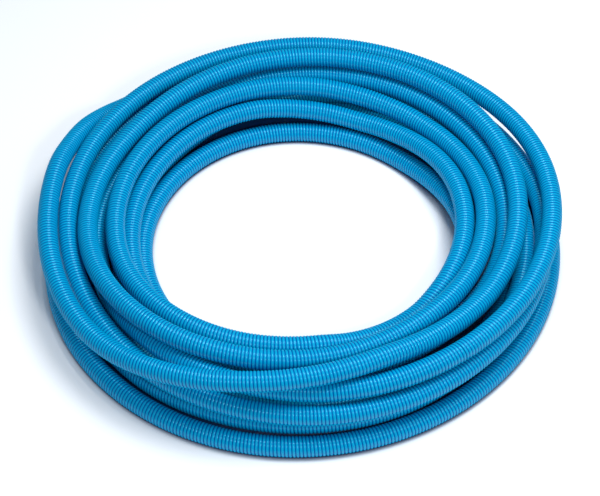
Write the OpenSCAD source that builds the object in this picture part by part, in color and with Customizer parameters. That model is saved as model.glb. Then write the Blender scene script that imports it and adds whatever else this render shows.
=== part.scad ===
// A spiral-ribbed pool vacuum hose, thrown down in a loose coil of eleven loops.
// One end has a plain cuff and the other a cuff that swivels. Both lie on the ground
// behind the coil. Millimetres, +Z up, origin on the ground under the middle.

/* [Hose] */
// Bore of the hose
hose_bore = 32; // [25:0.5:40]
// Thickness of the wall at the bottom of a groove
hose_wall = 1.4; // [1:0.1:2]
// Height of a rib above the groove beside it
rib_depth = 1.6; // [1:0.1:2]
// Distance from one rib to the next
rib_pitch = 6.3; // [5.5:0.1:9]

/* [Coil] */
// Radius of the innermost loop, to the middle of the hose
coil_r = 300; // [280:5:360]
// Room between two loops that lie side by side
loop_gap = 1.5; // [1.2:0.1:3]
// Lane of both hose ends, counted in hose widths out from the innermost loop
end_lane = 5.1; // [5:0.05:5.4]
// Where the coil's centre lies to the right of the origin
coil_x = -3; // [-20:1:20]
// Where the coil's centre lies behind the origin
coil_y = -23; // [-60:1:20]

/* [Cuffs] */
// Bore of a cuff's mouth, which slips over a spigot
mouth_bore = 38; // [32:0.5:45]
// Depth of a cuff's mouth
mouth_depth = 48; // [30:1:60]
// Length of hose that a cuff holds
socket_depth = 32; // [20:1:45]
// Thickness of the stop between the hose and the mouth
stop_len = 4; // [3:0.5:6]
// Thickness of a cuff's wall
cuff_wall = 3; // [2.5:0.1:4]
// Height of the lip around the mouth
lip_height = 1.6; // [1:0.1:3]
// Width of the lip around the mouth
lip_len = 9; // [6:0.5:14]
// Number of finger ribs around the hose end of a cuff
grip_count = 14; // [8:1:18]
// Radius of a finger rib
grip_r = 1.5; // [1:0.1:2]

/* [Swivel] */
// Thickness of the hub's neck
neck_wall = 3.3; // [2.5:0.1:4.5]
// Height of the flange on the neck
flange_height = 1.9; // [1.5:0.1:3]
// Width of the flange on the neck
flange_len = 4; // [3:0.5:6]
// Width of the ring that holds the sleeve on the neck
ring_len = 10; // [6:0.5:14]
// Thickness of the seal
seal_len = 3.4; // [2.5:0.1:5]
// Thickness of the sleeve's wall round the ring
sleeve_wall = 2.6; // [2.2:0.1:4]

/* [Clearances] */
// Room between the hose and a cuff's socket
socket_gap = 0.15; // [0.1:0.05:0.4]
// Room between the neck and the ring that turns on it
turn_gap = 0.05; // [0.03:0.01:0.08]
// Room between two faces that turn past each other
face_gap = 0.3; // [0.2:0.05:0.5]
// Room around the flange and the seal
chamber_gap = 0.25; // [0.2:0.05:0.5]

/* [Hidden] */
// Lane of each loop, in hose widths out from the innermost one, as the loop passes
// the back right, the front right, the front left and the back left.
LOOPS = [
    [4.6, 4.1, 4.3, 3.8],
    [3.5, 2.2, 2.2, 2.1],
    [1.3, 0.1, 0.0, 0.0],
    [0.0, 1.2, 1.1, 1.1],
    [2.9, 3.3, 3.3, 3.8],
    [4.1, 3.75, 3.3, 3.95],
    [4.6, 3.3, 2.2, 2.1],
    [2.4, 1.5, 0.6, 0.45],
    [0.3, 0.2, 1.1, 1.1],
    [1.3, 1.1, 2.4, 2.2],
    [2.9, 2.3, 4.3],
];
first_pass = 30;        // bearing of the first number in a row, in degrees
steps = 48;             // steps in one loop
lead_steps = 4;         // steps from the first end to the first number
window = 2;             // steps over which a loop climbs before what it crosses
ring_step = 2;          // steps from one ring of the coil to the next
coil_sides = 6;
tail_sides = 8;
bore_ribs = 4;          // ribs from one ring of a bore to the next
$fn = 72;

hose_od = hose_bore + 2 * (hose_wall + rib_depth);
hose_r = hose_od / 2;
groove_r = hose_r - rib_depth;
width = hose_od + loop_gap;
rest_z = hose_r - hose_od / 10;     // the underside is cut flat on the ground
quarter = steps / 4;
first_bearing = first_pass + lead_steps * 360 / steps;

mouth_r = mouth_bore / 2;
socket_r = hose_r + socket_gap;
stop_r = hose_bore / 2;
body_r = max(mouth_r, socket_r) + cuff_wall;
neck_r = stop_r + neck_wall;
flange_r = neck_r + flange_height;
chamber_r = flange_r + chamber_gap;
sleeve_r = max(chamber_r + sleeve_wall, mouth_r + cuff_wall);
lip_r = max(body_r, sleeve_r) + lip_height;
axis_z = lip_r;                     // both cuffs lie on their lips
edge = 1;                           // small chamfer

collar_len = socket_depth + stop_len;
sleeve_z = collar_len + face_gap;
ring_z = sleeve_z + face_gap;
flange_z = ring_z + ring_len + face_gap;
neck_end = flange_z + flange_len;
shoulder_z = neck_end + face_gap + seal_len;
mouth_z = shoulder_z + stop_len;
sleeve_end = mouth_z + mouth_depth;
cuff_end = collar_len + mouth_depth;

// ---------------------------------------------------------------- route of the hose
LANES = [for (row = LOOPS) each row];
last = lead_steps + len(LANES) * quarter;

function mix(a, b, t) = a + (b - a) * t;
function ease(t) = let (u = min(max(t, 0), 1)) u * u * (3 - 2 * u);

// Value of a smooth curve through the numbers of a list, level at both ends
function curve(v, s) =
    let (i = min(max(floor(s), 0), len(v) - 2), t = s - i, a = v[i], b = v[i + 1],
         p = i > 0 ? v[i - 1] : b, q = i + 2 < len(v) ? v[i + 2] : a)
    (2 * a + (b - p) * t + (2 * p - 5 * a + 4 * b - q) * t * t
        + (3 * (a - b) + q - p) * t * t * t) / 2;

// Lane after some quarters of a turn: in from the first end, from number to number,
// and late in the last quarter out again to the other end
function lane(q) = let (over = q - len(LANES) + 1)
    curve(LANES, min(max(q, 0), len(LANES) - 1))
        + (end_lane - LANES[0]) * ease(-q * quarter / lead_steps)
        + (end_lane - LANES[len(LANES) - 1]) * ease((over - 0.25) / 0.75);

// Radius at each step
RADIUS = [for (i = [0:last]) coil_r + width * lane((i - lead_steps) / quarter)];

// Height at which the loops laid before it hold the hose at step i
function held(i, top) = i > last ? rest_z : max([rest_z,
    for (j = [i - steps:-steps:0])
        let (aside = abs(RADIUS[i] - RADIUS[j]))
        if (aside < width) top[j] + sqrt(width * width - aside * aside)]);

function crest(low, j) = max([for (k = [max(0, j - window):j + window]) low[k]]);
function mean(v) = v * [for (x = v) 1] / len(v);

// The hose is laid down step by step; it climbs early and comes down late
function settle(low, top) = len(top) > last ? top :
    let (i = len(top), seen = concat(low, [held(i + 2 * window, top)]))
    settle(seen, concat(top, [mean([for (j = [max(0, i - window):i + window]) crest(seen, j)])]));

SETTLED = settle([for (i = [1:2 * window]) rest_z], []);
HEIGHT = [for (i = [0:last]) mix(SETTLED[i], axis_z,
    ease(1 - i / lead_steps) + ease(1 - (last - i) / lead_steps))];

function bearing(s) = first_bearing - s * 360 / steps;
function along(s) = let (r = curve(RADIUS, s), a = bearing(s))
    [coil_x + r * cos(a), coil_y + r * sin(a), curve(HEIGHT, s)];

// ---------------------------------------------------------------- where the hose is joined
step_len = (coil_r + width * end_lane) * PI * 2 / steps;
straight = 1.2 * hose_od / step_len;        // steps over which an end runs straight
coil_from = lead_steps + 2;
coil_to = last - lead_steps;
grip_steps = (hose_od + socket_depth) / step_len;

function unit(v) = v / norm(v);
start_dir = unit(along(coil_from) - along(coil_from - straight));
finish_dir = unit(along(coil_to + straight) - along(coil_to));
function heading(a) = [sin(a), -cos(a), 0];
swivel_dir = -heading(bearing(0));
fixed_dir = heading(bearing(last));
swivel_at = along(0) + hose_od * swivel_dir;
fixed_at = along(last) + hose_od * fixed_dir;

// Point of the tail at the swivel end: straight into the cuff, straight into the coil
function swivel_tail(s) =
    s < 0 ? along(0) - s * step_len * swivel_dir :
    s > coil_from - straight ? mix(along(coil_from - straight), along(coil_from),
                                   1 - (coil_from - s) / straight) :
    along(s);

// Point of the tail at the fixed end
function fixed_tail(s) =
    s > last ? along(last) + (s - last) * step_len * fixed_dir :
    s < coil_to + straight ? mix(along(coil_to), along(coil_to + straight),
                                 (s - coil_to) / straight) :
    along(s);

COIL_PATH = concat(
    [along(coil_from), along(coil_from) + hose_od * start_dir],
    [for (s = [coil_from + ring_step:ring_step:coil_to - ring_step]) along(s)],
    [along(coil_to) - hose_od * finish_dir, along(coil_to)]);

// Least gap between two loops, measured on points a quarter of a step apart
LEAST_GAP = min([for (s = [steps:0.25:last]) for (t = [s - steps:-steps:0])
    for (near = [-1:0.25:1]) if (t + near >= 0) norm(along(s) - along(t + near))]) - hose_od;
echo(str("least gap between two loops: ", LEAST_GAP, " mm"));
echo(mouths = [swivel_at + sleeve_end * swivel_dir, swivel_dir,
    fixed_at + cuff_end * fixed_dir, fixed_dir]);

// ---------------------------------------------------------------- swept tubes
// One ring of a tube, square to the way it runs, and level where it would go below floor_z
function ring(at, dir, r, sides, floor_z = 0) =
    let (side = unit(cross(dir, [0, 0, 1])), up = cross(side, dir))
    [for (k = [0:sides - 1]) let (a = 360 * (k + 0.5) / sides + 90,
        p = at + r * (cos(a) * side + sin(a) * up)) [p.x, p.y, max(p.z, floor_z)]];

function dirs(path, from, to) = [for (i = [0:len(path) - 1])
    i == 0 ? from : i == len(path) - 1 ? to :
    unit(unit(path[i] - path[i - 1]) + unit(path[i + 1] - path[i]))];

// Triangles of the skin between rings, each of so many points
function skin(rings, sides, first, inward) = [for (i = [0:rings - 2]) for (k = [0:sides - 1])
    let (a = first + i * sides + k, b = first + i * sides + (k + 1) % sides,
         c = a + sides, d = b + sides)
    each inward ? [[a, c, b], [b, c, d]] : [[a, b, c], [b, d, c]]];

function fan(sides, first, turned) = [for (k = [1:sides - 2]) turned
    ? [first, first + k, first + k + 1] : [first, first + k + 1, first + k]];

function washer(sides, outer, inner, turned) = [for (k = [0:sides - 1])
    let (a = outer + k, b = outer + (k + 1) % sides, c = inner + k, d = inner + (k + 1) % sides)
    each turned ? [[a, b, c], [b, d, c]] : [[a, c, b], [b, c, d]]];

module cord(path, from, to, r, sides) {
    d = dirs(path, from, to);
    points = [for (i = [0:len(path) - 1]) each ring(path[i], d[i], r, sides)];
    polyhedron(points, concat(skin(len(path), sides, 0, false), fan(sides, 0, false),
        fan(sides, len(points) - sides, true)), convexity = 12);
}

// A ribbed hose: a crest and a groove to each rib outside, and an open bore
module ribbed(path, from, to, sides) {
    d = dirs(path, from, to);
    n = len(path);
    inside = [for (i = [0:2 * bore_ribs:n - 1 - bore_ribs]) i, n - 1];
    outer = [for (i = [0:n - 1]) each ring(path[i], d[i], i % 2 == 0 ? hose_r : groove_r, sides)];
    inner = [for (i = inside) each ring(path[i], d[i], hose_bore / 2, sides, hose_wall)];
    m = len(outer);
    polyhedron(concat(outer, inner), concat(
        skin(n, sides, 0, false), skin(len(inside), sides, m, true),
        washer(sides, 0, m, false),
        washer(sides, m - sides, m + len(inner) - sides, true)), convexity = 12);
}

// Steps of a tail at which a crest or a groove stands, an even number of them
function rib_steps(from, to) =
    let (n = 2 * round((to - from) * step_len / rib_pitch)) [for (i = [0:n]) mix(from, to, i / n)];

// ---------------------------------------------------------------- the pieces
module hose_coil() color([0.04, 0.61, 0.83])
    cord(COIL_PATH, start_dir, finish_dir, hose_r, coil_sides);

module hose_tail_swivel_end() color([0.04, 0.61, 0.83])
    ribbed([for (s = rib_steps(-grip_steps, coil_from)) swivel_tail(s)],
        -swivel_dir, start_dir, tail_sides);

module hose_tail_fixed_end() color([0.04, 0.61, 0.83])
    ribbed([for (s = rib_steps(coil_to, last + grip_steps)) fixed_tail(s)],
        finish_dir, fixed_dir, tail_sides);

// Stands a piece that was drawn along Z on the hose's end, pointing away from the hose
module at_end(at, dir) translate(at) rotate([0, 90, atan2(dir.y, dir.x)]) children();

// Finger ribs around the hose end of a cuff
module grips(r) for (k = [0:grip_count - 1]) rotate(360 * k / grip_count)
    translate([r, 0, 2 * edge + grip_r]) cylinder(r = grip_r, h = socket_depth - 4 * edge - grip_r, $fn = 20);

module fixed_cuff() color([0.03, 0.42, 0.70]) at_end(fixed_at, fixed_dir) {
    rotate_extrude() polygon([
        [socket_r, 0], [body_r - edge, 0], [body_r, edge],
        [body_r, cuff_end - lip_len - lip_height], [lip_r, cuff_end - lip_len],
        [lip_r, cuff_end - edge], [lip_r - edge, cuff_end],
        [mouth_r + edge, cuff_end], [mouth_r, cuff_end - edge],
        [mouth_r, collar_len], [stop_r, collar_len],
        [stop_r, socket_depth], [socket_r, socket_depth]]);
    grips(body_r);
}

module swivel_hub() color([0.03, 0.42, 0.70]) at_end(swivel_at, swivel_dir) {
    rotate_extrude() polygon([
        [socket_r, 0], [body_r - edge, 0], [body_r, edge],
        [body_r, collar_len - edge], [body_r - edge, collar_len],
        [neck_r, collar_len], [neck_r, flange_z],
        [flange_r, flange_z], [flange_r, neck_end],
        [stop_r, neck_end], [stop_r, socket_depth], [socket_r, socket_depth]]);
    grips(body_r);
}

module swivel_cuff() color([0.03, 0.42, 0.70]) at_end(swivel_at, swivel_dir)
    rotate_extrude() polygon([
        [chamber_r, sleeve_z], [sleeve_r - edge, sleeve_z], [sleeve_r, sleeve_z + edge],
        [sleeve_r, sleeve_end - lip_len - lip_height], [lip_r, sleeve_end - lip_len],
        [lip_r, sleeve_end - edge], [lip_r - edge, sleeve_end],
        [mouth_r + edge, sleeve_end], [mouth_r, sleeve_end - edge],
        [mouth_r, mouth_z], [stop_r, mouth_z],
        [stop_r, shoulder_z], [chamber_r, shoulder_z]]);

module retaining_ring() color([0.85, 0.87, 0.88]) at_end(swivel_at, swivel_dir)
    translate([0, 0, ring_z]) rotate_extrude()
        translate([neck_r + turn_gap, 0]) square([chamber_r - neck_r - 2 * turn_gap, ring_len]);

module swivel_seal() color([0.1, 0.1, 0.11]) at_end(swivel_at, swivel_dir)
    translate([0, 0, shoulder_z - seal_len]) rotate_extrude()
        translate([stop_r + edge, 0]) square([flange_r - stop_r - edge, seal_len]);

hose_coil();
hose_tail_swivel_end();
hose_tail_fixed_end();
fixed_cuff();
swivel_hub();
swivel_cuff();
retaining_ring();
swivel_seal();
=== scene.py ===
"""A spiral-ribbed pool vacuum hose in a loose coil, with both cuffs lying behind it."""

import logging
import math
from dataclasses import dataclass, field
from enum import Enum

import bmesh
import bpy
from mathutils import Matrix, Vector


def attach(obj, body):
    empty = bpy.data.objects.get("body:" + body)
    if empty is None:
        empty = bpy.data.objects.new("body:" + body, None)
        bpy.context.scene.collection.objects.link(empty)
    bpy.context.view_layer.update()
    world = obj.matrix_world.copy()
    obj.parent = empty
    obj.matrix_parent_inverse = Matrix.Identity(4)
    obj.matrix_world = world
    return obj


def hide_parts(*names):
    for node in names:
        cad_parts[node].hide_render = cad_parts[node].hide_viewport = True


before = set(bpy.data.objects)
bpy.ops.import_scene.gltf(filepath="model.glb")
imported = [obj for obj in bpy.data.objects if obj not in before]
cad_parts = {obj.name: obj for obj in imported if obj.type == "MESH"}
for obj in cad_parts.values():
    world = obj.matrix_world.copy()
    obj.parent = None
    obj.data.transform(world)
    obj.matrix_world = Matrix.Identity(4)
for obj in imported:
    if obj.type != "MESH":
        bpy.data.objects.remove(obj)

LOG = logging.getLogger("pool_hose")
MM = 0.001

Colour = tuple[float, float, float]
Place = tuple[float, float, float]
Feeds = dict[str | int, object]  # outputs or plain values for a node's inputs


# ---------------------------------------------------------------- the hose's route
@dataclass(frozen=True)
class HoseSizes:
    """Sizes of the hose, in metres."""

    bore: float = 32 * MM
    wall: float = 1.4 * MM
    rib_depth: float = 1.6 * MM
    rib_pitch: float = 6.3 * MM

    @property
    def crest_radius(self) -> float:
        """Radius over the ribs."""
        return self.groove_radius + self.rib_depth

    @property
    def groove_radius(self) -> float:
        """Radius at the bottom of a groove."""
        return self.bore / 2 + self.wall

    @property
    def diameter(self) -> float:
        """Width over the ribs."""
        return 2 * self.crest_radius

    @property
    def give(self) -> float:
        """How far the hose's own weight presses its underside flat on the ground."""
        return self.diameter / 10


@dataclass
class HoseRoute:
    """The line that the middle of the hose follows, worked out as in the CAD source.

    The hose is laid down clockwise, loop after loop. Each loop keeps to a lane, counted
    in hose widths out from the innermost loop, and rests on whatever lies under it.
    """

    sizes: HoseSizes = field(default_factory=HoseSizes)
    coil_radius: float = 300 * MM
    loop_gap: float = 1.5 * MM
    centre: tuple[float, float] = (-3 * MM, -23 * MM)
    first_bearing: float = 60.0
    steps: int = 48  # to a turn
    window: int = 2  # steps by which it climbs early and comes down late
    # Lanes where the loop passes the back right, front right, front left and back left
    loops: tuple[tuple[float, ...], ...] = (
        (4.6, 4.1, 4.3, 3.8),
        (3.5, 2.2, 2.2, 2.1),
        (1.3, 0.1, 0.0, 0.0),
        (0.0, 1.2, 1.1, 1.1),
        (2.9, 3.3, 3.3, 3.8),
        (4.1, 3.75, 3.3, 3.95),
        (4.6, 3.3, 2.2, 2.1),
        (2.4, 1.5, 0.6, 0.45),
        (0.3, 0.2, 1.1, 1.1),
        (1.3, 1.1, 2.4, 2.2),
        (2.9, 2.3, 4.3),
    )
    # Both ends lie behind the coil in this lane. The hose comes in from it over the lead
    # steps, and goes out to it once this share of its last quarter turn is past.
    end_lane: float = 5.1
    lead_steps: int = 4
    lead_out: float = 0.25
    # The ends run straight inside the cuffs
    cuff_height: float = 25.65 * MM
    socket_depth: float = 32 * MM
    straight_spacing: float = 14 * MM
    points_to_a_step: int = 4

    def __post_init__(self) -> None:
        """Works out the radius and the height of every step."""
        self.width = self.sizes.diameter + self.loop_gap
        self.lanes = [lane for loop in self.loops for lane in loop]
        self.last = self.lead_steps + len(self.lanes) * self.steps // 4
        self.rest_height = self.sizes.crest_radius - self.sizes.give
        self.radii = [self._radius(i) for i in range(self.last + 1)]
        self.heights = self._settle()

    @staticmethod
    def ease(t: float) -> float:
        """Smooth step from 0 to 1."""
        u = min(max(t, 0.0), 1.0)
        return u * u * (3 - 2 * u)

    @staticmethod
    def curve(values: list[float], s: float) -> float:
        """Reads a smooth curve through evenly spaced values, level at both ends.

        Args:
            values: the values that the curve passes.
            s: where to read it, counted in values from the first.

        Returns:
            The curve's value at s.
        """
        i = min(max(math.floor(s), 0), len(values) - 2)
        t = s - i
        a, b = values[i], values[i + 1]
        p = values[i - 1] if i > 0 else b
        q = values[i + 2] if i + 2 < len(values) else a
        square = (2 * p - 5 * a + 4 * b - q) * t * t
        return (2 * a + (b - p) * t + square + (3 * (a - b) + q - p) * t**3) / 2

    def _radius(self, i: int) -> float:
        """Finds how far out the hose lies at a step.

        Args:
            i: the step.

        Returns:
            The distance from the coil's middle.
        """
        quarters = (i - self.lead_steps) * 4 / self.steps
        last_quarter = len(self.lanes) - 1
        out = (quarters - last_quarter - self.lead_out) / (1 - self.lead_out)
        lane = self.curve(self.lanes, min(max(quarters, 0.0), float(last_quarter)))
        lane += (self.end_lane - self.lanes[0]) * self.ease(1 - i / self.lead_steps)
        lane += (self.end_lane - self.lanes[-1]) * self.ease(out)
        return self.coil_radius + self.width * lane

    def _settle(self) -> list[float]:
        """Lays the hose down step by step: it climbs early and comes down late.

        Returns:
            The height of the hose's middle at every step.
        """
        reach = 2 * self.window
        low = [self.rest_height] * reach
        top: list[float] = []
        for i in range(self.last + 1):
            low.append(self._held(i + reach, top))
            crests = [
                max(low[max(0, j - self.window) : j + self.window + 1])
                for j in range(max(0, i - self.window), i + self.window + 1)
            ]
            top.append(sum(crests) / len(crests))
        return [self._to_cuff(i, height) for i, height in enumerate(top)]

    def _held(self, i: int, top: list[float]) -> float:
        """Finds how high the ground and the loops laid before hold the hose.

        Args:
            i: the step.
            top: the heights of the steps laid so far.

        Returns:
            The least height of the hose's middle at the step.
        """
        height = self.rest_height
        if i > self.last:
            return height
        for j in range(i - self.steps, -1, -self.steps):
            aside = abs(self.radii[i] - self.radii[j])
            if aside < self.width:
                height = max(height, top[j] + math.sqrt(self.width**2 - aside**2))
        return height

    def _to_cuff(self, i: int, height: float) -> float:
        """Raises or lowers the hose to a cuff's middle near its ends.

        Args:
            i: the step.
            height: the height at which the hose lies there.

        Returns:
            The height after the change.
        """
        near = self.ease(1 - i / self.lead_steps)
        near += self.ease(1 - (self.last - i) / self.lead_steps)
        return height + (self.cuff_height - height) * near

    def bearing(self, s: float) -> float:
        """Bearing of step s seen from the coil's middle, in radians."""
        return math.radians(self.first_bearing - s * 360 / self.steps)

    def along(self, s: float) -> Vector:
        """Finds a point of the hose's middle line.

        Args:
            s: the step, which may lie between two whole ones.

        Returns:
            The point.
        """
        radius, bearing = self.curve(self.radii, s), self.bearing(s)
        x = self.centre[0] + radius * math.cos(bearing)
        y = self.centre[1] + radius * math.sin(bearing)
        return Vector((x, y, self.curve(self.heights, s)))

    def heading(self, s: float) -> Vector:
        """Level direction in which the hose runs at a cuff."""
        return Vector((math.sin(self.bearing(s)), -math.cos(self.bearing(s)), 0.0))

    def points(self) -> list[Vector]:
        """Lists points from the bottom of one cuff's socket to that of the other's.

        Returns:
            The middle line, close enough together to be drawn with straight pieces.
        """
        held = self.sizes.diameter + self.socket_depth
        count = math.ceil(held / self.straight_spacing)
        fine = self.points_to_a_step
        first, last = self.along(0), self.along(self.last)
        lead = [first - self.heading(0) * held * (1 - i / count) for i in range(count)]
        tail = [last + self.heading(self.last) * held * i / count for i in range(1, count + 1)]
        return lead + [self.along(i / fine) for i in range(self.last * fine + 1)] + tail


# ---------------------------------------------------------------- node trees
class TreeMaker:
    """Small helper that builds a node tree line by line."""

    def __init__(self, tree: bpy.types.NodeTree) -> None:
        """Keeps the tree that is being built."""
        self.tree = tree

    def node(self, kind: str, feeds: Feeds | None = None, **settings: object) -> bpy.types.Node:
        """Adds a node, sets its properties and feeds its inputs.

        Args:
            kind: the node's type.
            feeds: outputs or plain values for its inputs, by name or by number.
            settings: properties of the node by name.

        Returns:
            The new node.
        """
        made = self.tree.nodes.new(kind)
        for name, value in settings.items():
            setattr(made, name, value)
        self.feed(made, feeds or {})
        return made

    def feed(self, node: bpy.types.Node, feeds: Feeds) -> None:
        """Links inputs of a node to outputs, or gives them plain values.

        Args:
            node: the node whose inputs are fed.
            feeds: outputs or plain values, by the input's name or number.
        """
        for name, value in feeds.items():
            socket = node.inputs[name]
            if isinstance(value, bpy.types.NodeSocket):
                self.tree.links.new(value, socket)
            else:
                socket.default_value = value

    def math(self, operation: str, *values: object) -> bpy.types.NodeSocket:
        """Adds a maths node and returns its result."""
        return self.node("ShaderNodeMath", dict(enumerate(values)), operation=operation).outputs[0]

    def vector(self, operation: str, *values: object) -> bpy.types.NodeSocket:
        """Adds a vector maths node and returns its vector."""
        feeds = dict(enumerate(values))
        return self.node("ShaderNodeVectorMath", feeds, operation=operation).outputs[0]

    def scaled(self, vector: object, by: object) -> bpy.types.NodeSocket:
        """Adds a node that scales a vector by a number, and returns the new vector."""
        feeds = {0: vector, "Scale": by}
        return self.node("ShaderNodeVectorMath", feeds, operation="SCALE").outputs[0]

    def spread(self, value: object, ends: Feeds, smooth: bool = False) -> bpy.types.NodeSocket:
        """Adds a node that maps a number from one range to another.

        Args:
            value: the number.
            ends: the ends of both ranges that aren't 0 and 1, by the node's names.
            smooth: whether the number eases in and out.

        Returns:
            The mapped number's output.
        """
        kind = "SMOOTHSTEP" if smooth else "LINEAR"
        feeds = {"Value": value} | ends
        made = self.node("ShaderNodeMapRange", feeds, interpolation_type=kind)
        return made.outputs["Result"]

    def blend(self, factor: object, low: object, high: object) -> bpy.types.NodeSocket:
        """Adds a node that blends two colours.

        Args:
            factor: how much of the second colour there is.
            low: the first colour, plain or an output.
            high: the second colour, plain or an output.

        Returns:
            The blended colour's output.
        """
        colours = [(*c, 1.0) if isinstance(c, tuple) else c for c in (low, high)]
        feeds = {"Factor": factor, "A": colours[0], "B": colours[1]}
        return self.node("ShaderNodeMix", feeds, data_type="RGBA").outputs["Result"]


class RibTree(TreeMaker):
    """Geometry Nodes that wind a rib round a line as one spiral, one turn to a pitch."""

    INPUTS = (
        ("First Rib", "NodeSocketFloat"),
        ("Rib Count", "NodeSocketInt"),
        ("Rib Pitch", "NodeSocketFloat"),
        ("Rows to a Rib", "NodeSocketInt"),
        ("Sides", "NodeSocketInt"),
        ("Crest Radius", "NodeSocketFloat"),
        ("Groove Radius", "NodeSocketFloat"),
        ("Crest Width", "NodeSocketFloat"),
        ("Ground Height", "NodeSocketFloat"),
        ("Weld", "NodeSocketFloat"),
        ("Finish", "NodeSocketMaterial"),
    )
    RISE = "rib_rise"

    def __init__(self) -> None:
        """Builds the tree with its named inputs."""
        super().__init__(bpy.data.node_groups.new("spiral_ribs", "GeometryNodeTree"))
        face = self.tree.interface
        face.new_socket("Geometry", in_out="INPUT", socket_type="NodeSocketGeometry")
        for name, kind in self.INPUTS:
            face.new_socket(name, in_out="INPUT", socket_type=kind)
        face.new_socket("Geometry", in_out="OUTPUT", socket_type="NodeSocketGeometry")
        self.given = self.node("NodeGroupInput").outputs
        grid, turn, rib = self._grid()
        rise = self._rise(rib)
        self._finish(grid, self._point(turn, rib, rise), rise)

    def _grid(self) -> tuple[bpy.types.NodeSocket, ...]:
        """Makes the grid that is laid round the line, one row of points after another.

        Returns:
            The grid, and for each point the share of a turn and the rib that it is at.
        """
        given = self.given
        columns = self.math("ADD", given["Sides"], 1.0)
        rows = self.math("MULTIPLY_ADD", given["Rib Count"], given["Rows to a Rib"], 1.0)
        grid = self.node("GeometryNodeMeshGrid", {"Vertices X": rows, "Vertices Y": columns})
        index = self.node("GeometryNodeInputIndex").outputs[0]
        half_up = self.math("ADD", index, 0.5)
        row = self.math("FLOOR", self.math("DIVIDE", half_up, columns))
        column = self.math("SUBTRACT", index, self.math("MULTIPLY", row, columns))
        turn = self.math("DIVIDE", column, given["Sides"])
        rib = self.math("DIVIDE", row, given["Rows to a Rib"])
        return grid.outputs["Mesh"], turn, rib

    def _rise(self, rib: bpy.types.NodeSocket) -> bpy.types.NodeSocket:
        """Shapes a rib along the hose, with a flat crest and a round groove.

        Args:
            rib: the number of the rib, with its share of a pitch.

        Returns:
            The height over the groove, from 0 to 1 at the crest.
        """
        wave = self.math("SINE", self.math("MULTIPLY", self.math("FRACT", rib), math.pi))
        square = self.math("MULTIPLY", wave, wave)
        wide = self.math("MULTIPLY", square, self.given["Crest Width"])
        return self.math("MINIMUM", wide, 1.0)

    def _point(
        self, turn: bpy.types.NodeSocket, rib: bpy.types.NodeSocket, rise: bpy.types.NodeSocket
    ) -> bpy.types.NodeSocket:
        """Puts each point of the grid round the line, none of them below the ground.

        Args:
            turn: the share of a turn.
            rib: the number of the rib.
            rise: the height over the groove.

        Returns:
            The point's place.
        """
        given = self.given
        line = self.node("GeometryNodeMeshToCurve", {0: given["Geometry"]})
        upright = self.node("GeometryNodeSetCurveNormal", {"Curve": line.outputs[0]}, mode="Z_UP")
        place = self.math("ADD", self.math("ADD", given["First Rib"], rib), turn)
        length = self.math("MULTIPLY", place, given["Rib Pitch"])
        feeds = {"Curves": upright.outputs[0], "Length": length}
        sample = self.node(
            "GeometryNodeSampleCurve", feeds, mode="LENGTH", use_all_curves=False
        ).outputs

        side = sample["Normal"]
        over = self.vector("CROSS_PRODUCT", sample["Tangent"], side)
        angle = self.math("MULTIPLY", turn, 2 * math.pi)
        across = self.scaled(side, self.math("COSINE", angle))
        outward = self.vector("ADD", across, self.scaled(over, self.math("SINE", angle)))
        depth = self.math("SUBTRACT", given["Crest Radius"], given["Groove Radius"])
        radius = self.math("MULTIPLY_ADD", rise, depth, given["Groove Radius"])
        point = self.vector("ADD", sample["Position"], self.scaled(outward, radius))

        x, y, z = self.node("ShaderNodeSeparateXYZ", {0: point}).outputs
        height = self.math("MAXIMUM", z, given["Ground Height"])
        return self.node("ShaderNodeCombineXYZ", {0: x, 1: y, 2: height}).outputs[0]

    def _finish(
        self, grid: bpy.types.NodeSocket, point: bpy.types.NodeSocket, rise: bpy.types.NodeSocket
    ) -> None:
        """Moves the grid, closes its seam, and gives it its ribs' heights and its finish.

        Args:
            grid: the flat grid.
            point: the place of each point.
            rise: the height over the groove, which the finish reads.
        """
        given = self.given
        mesh = grid
        for kind, feeds, settings in (
            ("GeometryNodeSetPosition", {"Position": point}, {}),
            (
                "GeometryNodeStoreNamedAttribute",
                {"Name": self.RISE, "Value": rise},
                {"data_type": "FLOAT", "domain": "POINT"},
            ),
            ("GeometryNodeMergeByDistance", {"Distance": given["Weld"]}, {}),
            ("GeometryNodeSetShadeSmooth", {}, {}),
            ("GeometryNodeRealizeInstances", {}, {}),
            ("GeometryNodeSetMaterial", {"Material": given["Finish"]}, {}),
        ):
            mesh = self.node(kind, {"Geometry": mesh} | feeds, **settings).outputs[0]
        self.node("NodeGroupOutput", {0: mesh})


# ---------------------------------------------------------------- finishes
class Slot(Enum):
    """Material slots of the part's record."""

    HOSE = "hose_plastic"
    CUFF = "cuff_plastic"
    RING = "ring_plastic"
    SEAL = "seal_rubber"


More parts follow.
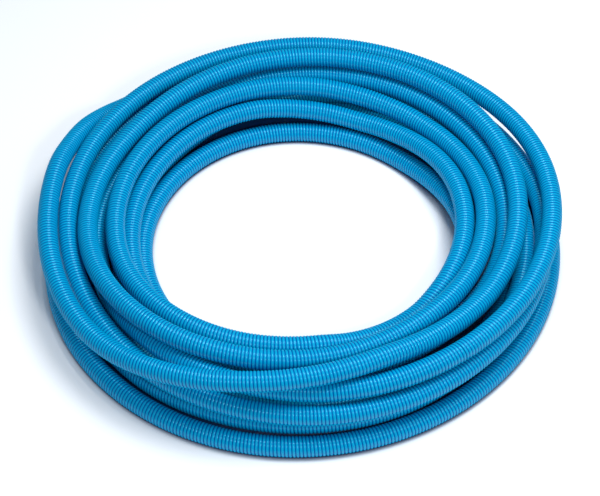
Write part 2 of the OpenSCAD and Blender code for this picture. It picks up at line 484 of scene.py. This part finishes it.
@dataclass(frozen=True)
class MouldedFinish:
    """A moulded plastic or rubber: a colour that drifts a little, scuffs and a fine grain."""

    name: str
    light: Colour
    dark: Colour
    roughness: float
    drift_scale: float = 14.0
    drift_detail: float = 4.0
    scuff_scale: float = 60.0
    scuff_detail: float = 5.0
    polished: float = 0.07
    scuffed: float = 0.09
    grain: float = 0.15
    grain_scale: float = 900.0
    grain_detail: float = 2.0
    grain_depth: float = 0.2 * MM
    shine: float = 0.4
    sheen: Colour = (1.0, 1.0, 1.0)
    soft_edge: float = 0.0
    edge_samples: int = 6

    def make(self) -> bpy.types.Material:
        """Builds the material's nodes.

        Returns:
            The new material.
        """
        material = bpy.data.materials.new(self.name)
        material.use_nodes = True
        maker = TreeMaker(material.node_tree)
        shader = material.node_tree.nodes["Principled BSDF"]
        where = maker.node("ShaderNodeTexCoord").outputs["Object"]
        feeds = {
            "Base Color": self._colour(maker, where),
            "Roughness": self._roughness(maker, where),
            "Normal": self._surface(maker, where),
            "Specular IOR Level": self.shine,
            "Specular Tint": (*self.sheen, 1.0),
        }
        maker.feed(shader, feeds)
        self._gloss(maker, shader)
        return material

    @staticmethod
    def _noise(
        maker: TreeMaker, where: bpy.types.NodeSocket, scale: float, detail: float
    ) -> bpy.types.NodeSocket:
        """Adds a noise and returns its value."""
        feeds = {"Vector": where, "Scale": scale, "Detail": detail}
        return maker.node("ShaderNodeTexNoise", feeds).outputs["Fac"]

    def _colour(self, maker: TreeMaker, where: bpy.types.NodeSocket) -> bpy.types.NodeSocket:
        """Lets the colour drift between the darker and the lighter one."""
        drift = self._noise(maker, where, self.drift_scale, self.drift_detail)
        return maker.blend(drift, self.dark, self.light)

    def _roughness(self, maker: TreeMaker, where: bpy.types.NodeSocket) -> bpy.types.NodeSocket:
        """Polishes some places and scuffs others.

        Args:
            maker: the helper of the material's tree.
            where: the place on the object.

        Returns:
            The roughness.
        """
        worn = self._noise(maker, where, self.scuff_scale, self.scuff_detail)
        smoothest, roughest = self.roughness - self.polished, self.roughness + self.scuffed
        return maker.spread(worn, {"To Min": smoothest, "To Max": roughest})

    def _surface(self, maker: TreeMaker, where: bpy.types.NodeSocket) -> bpy.types.NodeSocket:
        """Adds the fine grain and, where there are any, softened edges.

        Args:
            maker: the helper of the material's tree.
            where: the place on the object.

        Returns:
            The surface's normal.
        """
        fine = self._noise(maker, where, self.grain_scale, self.grain_detail)
        feeds = {"Strength": self.grain, "Distance": self.grain_depth, "Height": fine}
        if self.soft_edge > 0:
            radius = {"Radius": self.soft_edge}
            edge = maker.node("ShaderNodeBevel", radius, samples=self.edge_samples)
            feeds["Normal"] = edge.outputs["Normal"]
        return maker.node("ShaderNodeBump", feeds).outputs["Normal"]

    def _gloss(self, maker: TreeMaker, shader: bpy.types.Node) -> None:
        """Leaves the gloss the same all over."""


@dataclass(frozen=True)
class RibbedFinish(MouldedFinish):
    """The hose's plastic, duller in the grooves, with painted shade deepening its colour there."""

    # Painted shade: the colour at the bottom of a groove
    painted_groove_shade: Colour = (0.0, 0.0, 0.0)
    groove_shine: float = 0.1
    flank_end: float = 0.8
    rim_start: float = 0.3
    rim_end: float = 0.75

    def _colour(self, maker: TreeMaker, where: bpy.types.NodeSocket) -> bpy.types.NodeSocket:
        """Paints shade down a rib's flank, darker towards the groove.

        Args:
            maker: the helper of the material's tree.
            where: the place on the object.

        Returns:
            The colour.
        """
        rise = maker.node("ShaderNodeAttribute", attribute_name=RibTree.RISE).outputs["Fac"]
        # Painted shade: the colour darkens from the crest into the groove
        groove_shade_mask = maker.spread(rise, {"From Max": self.flank_end}, smooth=True)
        return maker.blend(groove_shade_mask, self.painted_groove_shade, super()._colour(maker, where))

    def _gloss(self, maker: TreeMaker, shader: bpy.types.Node) -> None:
        """Takes the gloss away down a rib's flank, and where the hose turns out of sight.

        Args:
            maker: the helper of the material's tree.
            shader: the material's shader.
        """
        rise = maker.node("ShaderNodeAttribute", attribute_name=RibTree.RISE).outputs["Fac"]
        crest = maker.spread(rise, {"To Min": self.groove_shine, "To Max": self.shine})
        facing = maker.node("ShaderNodeLayerWeight").outputs["Facing"]
        ends = {"From Min": self.rim_start, "From Max": self.rim_end, "To Min": 1.0, "To Max": 0.0}
        rim = maker.spread(facing, ends, smooth=True)
        maker.feed(shader, {"Specular IOR Level": maker.math("MULTIPLY", crest, rim)})


HOSE_BLUE = RibbedFinish(
    name="hose_blue",
    light=(0.0005, 0.37, 0.65),
    dark=(0.0004, 0.32, 0.58),
    # groove colour: painted shade at the bottom of the grooves
    painted_groove_shade=(0.0, 0.06, 0.31),
    roughness=0.22,
    shine=0.62,
    sheen=(0.25, 0.8, 1.0),
)
CUFF_BLUE = MouldedFinish(
    name="cuff_blue",
    light=(0.006, 0.17, 0.44),
    dark=(0.004, 0.14, 0.38),
    roughness=0.36,
    grain=0.25,
    sheen=(0.6, 0.85, 1.0),
    soft_edge=0.5 * MM,
)
RING_PALE = MouldedFinish(
    name="ring_pale",
    light=(0.78, 0.80, 0.82),
    dark=(0.70, 0.72, 0.74),
    roughness=0.42,
)
SEAL_BLACK = MouldedFinish(
    name="seal_black",
    light=(0.022, 0.022, 0.024),
    dark=(0.014, 0.014, 0.015),
    roughness=0.7,
    grain=0.35,
)


# ---------------------------------------------------------------- the hose
def add_object(name: str, data: bpy.types.ID) -> bpy.types.Object:
    """Puts a mesh, a light or a camera into the scene.

    Args:
        name: the new object's name.
        data: what the object shows.

    Returns:
        The new object.
    """
    made = bpy.data.objects.new(name, data)
    bpy.context.scene.collection.objects.link(made)
    return made


@dataclass
class Hose:
    """The ribbed hose: one spiral, cut into runs that follow one another end to end."""

    route: HoseRoute
    finish: RibbedFinish
    run_count: int = 5
    rows_to_a_rib: int = 4
    sides: int = 16
    crest_width: float = 1.3
    bore_depth: float = 60 * MM
    ground_height: float = 0.2 * MM
    seam_weld: float = 0.02 * MM
    bore_weld: float = 0.01 * MM

    def __post_init__(self) -> None:
        """Prepares the line, the rib pitch, the ribs' tree and the finish."""
        self.line = self.route.points()
        self.lengths = [0.0]
        for a, b in zip(self.line, self.line[1:]):
            self.lengths.append(self.lengths[-1] + (b - a).length)
        self.ribs = round(self.lengths[-1] / self.route.sizes.rib_pitch) - 1
        self.pitch = self.lengths[-1] / (self.ribs + 1)
        self.tree = RibTree().tree
        self.inputs = {
            "Rib Pitch": self.pitch,
            "Rows to a Rib": self.rows_to_a_rib,
            "Sides": self.sides,
            "Crest Radius": self.route.sizes.crest_radius,
            "Groove Radius": self.route.sizes.groove_radius,
            "Crest Width": self.crest_width,
            "Ground Height": self.ground_height,
            "Weld": self.seam_weld,
            "Finish": self.finish.make(),
        }

    def build(self) -> None:
        cuts = [round(i * self.ribs / self.run_count) for i in range(self.run_count + 1)]
        stretches = list(zip(cuts, cuts[1:]))
        runs = [
            self._run(f"hose_run_{number}", first, last - first)
            for number, (first, last) in enumerate(stretches, start=1)
        ]
        for run, (first, last) in zip(runs, stretches):
            self._declare(run)
        for run, node in (
            (runs[0], "hose_tail_swivel_end"),
            (runs[1], "hose_coil"),
            (runs[-1], "hose_tail_fixed_end"),
        ):
            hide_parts(node)

    def _run(self, name: str, first: int, count: int) -> bpy.types.Object:
        """Winds the ribs of one run round the line with Geometry Nodes.

        Args:
            name: the new piece's name.
            first: the first rib, counted along the whole hose.
            count: how many ribs the run has.

        Returns:
            The run as a plain closed mesh.
        """
        mesh = bpy.data.meshes.new(name)
        edges = [(i, i + 1) for i in range(len(self.line) - 1)]
        mesh.from_pydata([tuple(p) for p in self.line], edges, [])
        made = add_object(name, mesh)
        inputs = self.inputs | {"First Rib": float(first), "Rib Count": count}
        ribs = made.modifiers.new("ribs", "NODES")
        ribs.node_group = self.tree
        for item in self.tree.interface.items_tree:
            if item.in_out == "INPUT" and item.name in inputs:
                ribs[item.identifier] = inputs[item.name]
        seen = made.evaluated_get(bpy.context.evaluated_depsgraph_get())
        plain = bpy.data.meshes.new_from_object(seen)
        made.modifiers.remove(ribs)
        made.data = plain
        self._close(plain, self._mouths(first, first + count))
        return made

    def _mouths(self, first: int, last: int) -> list[tuple[Vector, Vector]]:
        """Finds which of the hose's own ends a run has.

        Args:
            first: the run's first rib.
            last: the rib that follows its last one.

        Returns:
            The middle of each such end, and the way into the bore.
        """
        mouths = []
        if first == 0:
            mouths.append((self.line[0], (self.line[1] - self.line[0]).normalized()))
        if last == self.ribs:
            mouths.append((self.line[-1], (self.line[-2] - self.line[-1]).normalized()))
        return mouths

    def _close(self, mesh: bpy.types.Mesh, mouths: list[tuple[Vector, Vector]]) -> None:
        """Closes a run, opens the bore at the hose's own ends and turns faces outwards.

        Args:
            mesh: the run, open at both ends.
            mouths: the hose's own ends on it, each with the way into the bore.
        """
        work = bmesh.new()
        work.from_mesh(mesh)
        for mouth, inward in mouths:
            self._bore(work, mouth, inward)
        ends = [edge for edge in work.edges if edge.is_boundary]
        bmesh.ops.holes_fill(work, edges=ends, sides=0)
        bmesh.ops.recalc_face_normals(work, faces=work.faces)
        # Only the flat caps have more than four corners
        for face in work.faces:
            face.smooth = len(face.verts) <= 4
        work.to_mesh(mesh)
        work.free()

    def _bore(self, work: bmesh.types.BMesh, mouth: Vector, inward: Vector) -> None:
        """Opens the hose's bore at one end, as deep as the hose runs straight there.

        Args:
            work: the run, whose end is still an open edge.
            mouth: the middle of the hose's end.
            inward: the direction into the hose.
        """
        near = 2 * self.route.sizes.diameter
        edges = [
            edge
            for edge in work.edges
            if edge.is_boundary and (edge.verts[0].co - mouth).length < near
        ]
        for reach in (0.0, self.bore_depth):
            grown = bmesh.ops.extrude_edge_only(work, edges=edges)["geom"]
            edges = [part for part in grown if isinstance(part, bmesh.types.BMEdge)]
            for vert in {vert for edge in edges for vert in edge.verts}:
                away = vert.co - mouth
                aside = (away - inward * away.dot(inward)).normalized()
                vert.co = mouth + inward * reach + aside * self.route.sizes.bore / 2
            edges = [edge for edge in edges if edge.is_boundary]
        rim = {vert for edge in work.edges if edge.is_boundary for vert in edge.verts}
        near_rim = [v for v in work.verts if (v.co - mouth).length < near or v in rim]
        bmesh.ops.remove_doubles(work, verts=near_rim, dist=self.bore_weld)

    def _declare(self, run: bpy.types.Object) -> None:
        """Attaches a run to the hose's body.

        Args:
            run: the piece.
        """
        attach(run, "hose")


# ---------------------------------------------------------------- the cuffs
@dataclass
class Cuffs:
    """Both cuffs, which keep their CAD shapes and get their finishes here."""

    plain: tuple[str, ...] = ("fixed_cuff",)
    swivel: tuple[str, ...] = ("swivel_hub", "swivel_cuff")
    ring: str = "retaining_ring"
    seal: str = "swivel_seal"

    def dress(self) -> None:
        """Gives every CAD node of the cuffs its finish."""
        for slot, finish, names in (
            (Slot.CUFF, CUFF_BLUE, self.plain + self.swivel),
            (Slot.RING, RING_PALE, (self.ring,)),
            (Slot.SEAL, SEAL_BLACK, (self.seal,)),
        ):
            material = finish.make()
            for name in names:
                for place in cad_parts[name].material_slots:
                    place.material = material
                LOG.info("%s: %s", name, slot.value)


# ---------------------------------------------------------------- the studio
@dataclass(frozen=True)
class Lamp:
    """A square area light, with its side in metres and its power in watts."""

    name: str
    place: Place
    side: float
    power: float


@dataclass(frozen=True)
class FloorFinish:
    """Pale, with painted dark blue shade where the hose hides the sky, and gone far from the hose.
    """

    lit: Colour = (0.94, 0.96, 0.98)
    # Painted shade: dark blue where the hose hides the sky
    painted_shade: Colour = (0.003, 0.04, 0.14)
    reach: float = 90 * MM
    hidden_sky: float = 0.22
    open_sky: float = 0.68
    roughness: float = 0.9
    shine: float = 0.1
    fade_start: float = 0.9
    fade_end: float = 1.7

    def make(self) -> bpy.types.Material:
        """Builds the material's nodes.

        Returns:
            The new material.
        """
        material = bpy.data.materials.new("floor_white")
        material.use_nodes = True
        maker = TreeMaker(material.node_tree)
        nodes = material.node_tree.nodes
        sky = maker.node("ShaderNodeAmbientOcclusion", {"Distance": self.reach}).outputs["AO"]
        ends = {"From Min": self.hidden_sky, "From Max": self.open_sky}
        feeds = {
            # Painted shade: the floor turns dark blue where little sky reaches it
            "Base Color": maker.blend(maker.spread(sky, ends, smooth=True), self.painted_shade, self.lit),
            "Roughness": self.roughness,
            "Specular IOR Level": self.shine,
        }
        maker.feed(nodes["Principled BSDF"], feeds)
        where = maker.node("ShaderNodeTexCoord").outputs["Object"]
        away = maker.node("ShaderNodeVectorMath", {0: where}, operation="LENGTH").outputs["Value"]
        ends = {"From Min": self.fade_start, "From Max": self.fade_end}
        feeds = {
            0: maker.spread(away, ends, smooth=True),
            1: nodes["Principled BSDF"].outputs[0],
            2: maker.node("ShaderNodeBsdfTransparent").outputs[0],
        }
        mixed = maker.node("ShaderNodeMixShader", feeds)
        maker.feed(nodes["Material Output"], {"Surface": mixed.outputs[0]})
        return material


@dataclass
class Studio:
    """Pale floor, soft light and the camera at the photograph's angle."""

    centre: Place = (-3 * MM, -23 * MM, 50 * MM)
    elevation: float = 49.0
    distance: float = 3.3
    lens: float = 104.5
    sensor: float = 36.0
    picture_width: int = 600
    picture_shift: int = -16
    far_clip: float = 50.0
    lamps: tuple[Lamp, ...] = (
        Lamp("overhead", (0.5, 0.1, 2.6), 1.2, 56.0),
        Lamp("front", (0.6, -2.0, 2.1), 0.35, 22.0),
    )
    white: Colour = (1.0, 1.0, 1.0)
    tint: Colour = (0.8, 0.9, 1.0)
    ambient: float = 0.42
    reflected: float = 0.12
    floor_half: float = 2.0
    floor_finish: FloorFinish = FloorFinish()

    def _aim(self, made: bpy.types.Object, place: Vector) -> None:
        """Puts a light or the camera in its place and turns it to the coil."""
        made.location = place
        made.rotation_euler = (Vector(self.centre) - place).to_track_quat("-Z", "Y").to_euler()

    def camera(self) -> None:
        """Looks along +Y and down at the coil's middle."""
        data = bpy.data.cameras.new("camera")
        data.lens = self.lens
        data.sensor_width = self.sensor
        data.shift_y = self.picture_shift / self.picture_width
        data.clip_end = self.far_clip
        made = add_object("camera", data)
        angle = math.radians(self.elevation)
        back = Vector((0.0, -math.cos(angle), math.sin(angle)))
        self._aim(made, Vector(self.centre) + back * self.distance)
        bpy.context.scene.camera = made

    def light(self, lamp: Lamp) -> None:
        """Adds a lamp that faces the coil.

        Args:
            lamp: its name, place, size and power.
        """
        data = bpy.data.lights.new(lamp.name, "AREA")
        data.size = lamp.side
        data.energy = lamp.power
        self._aim(add_object(lamp.name, data), Vector(lamp.place))

    def surroundings(self) -> None:
        """Soft light from all round, and white where the camera sees past the floor."""
        world = bpy.data.worlds.new("studio")
        world.use_nodes = True
        maker = TreeMaker(world.node_tree)
        ray = maker.node("ShaderNodeLightPath").outputs
        dimmed = self.reflected - self.ambient
        level = maker.math("MULTIPLY_ADD", ray["Is Glossy Ray"], dimmed, self.ambient)
        feeds = {
            "Color": maker.blend(ray["Is Camera Ray"], self.tint, self.white),
            "Strength": maker.spread(ray["Is Camera Ray"], {"To Min": level, "To Max": 1.0}),
        }
        maker.feed(world.node_tree.nodes["Background"], feeds)
        bpy.context.scene.world = world

    def floor(self) -> None:
        """A pale floor that is not part of the object and fades into the white round it."""
        mesh = bpy.data.meshes.new("floor")
        half = self.floor_half
        corners = [(-half, -half, 0), (half, -half, 0), (half, half, 0), (-half, half, 0)]
        mesh.from_pydata(corners, [], [(0, 1, 2, 3)])
        mesh.materials.append(self.floor_finish.make())
        add_object("floor", mesh)

    def build(self) -> None:
        """Sets up the camera, the floor, the lights and the view transform."""
        self.camera()
        self.floor()
        self.surroundings()
        for lamp in self.lamps:
            self.light(lamp)
        bpy.context.scene.view_settings.view_transform = "Standard"


def main() -> None:
    """Builds the scene in order: studio, hose, cuffs."""
    logging.basicConfig(level=logging.INFO, format="%(name)s %(message)s")
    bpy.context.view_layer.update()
    Studio().build()
    Hose(HoseRoute(), HOSE_BLUE).build()
    Cuffs().dress()


if __name__ == "__main__":
    main()
